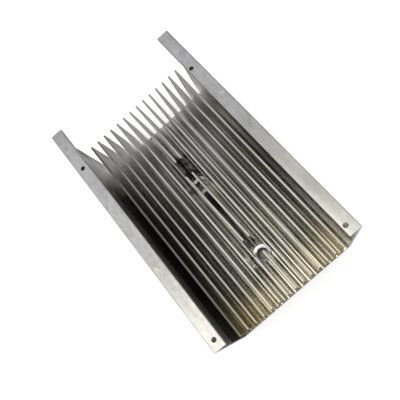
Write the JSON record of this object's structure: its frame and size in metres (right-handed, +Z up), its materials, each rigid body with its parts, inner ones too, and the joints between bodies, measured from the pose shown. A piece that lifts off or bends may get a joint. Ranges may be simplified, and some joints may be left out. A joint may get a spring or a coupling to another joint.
{
  "type": "extruded heat sink",
  "caption": "Extruded aluminium channel heat sink with tapered cooling fins between side walls that end in inward mounting lips.",
  "frame": {"origin": "middle of the underside of the base, at mid width and mid length", "axes": "+X across the width to the right wall, +Y along the extrusion to the far end, +Z up from the base to the lips"},
  "size_m": [0.15, 0.25, 0.14],
  "materials": {
    "extruded_aluminium": "mill-finish extrusion with lengthwise die lines, sawn ends and machined spot faces"
  },
  "bodies": {
    "root": {"heat_sink": "extruded_aluminium"}
  },
  "joints": []
}
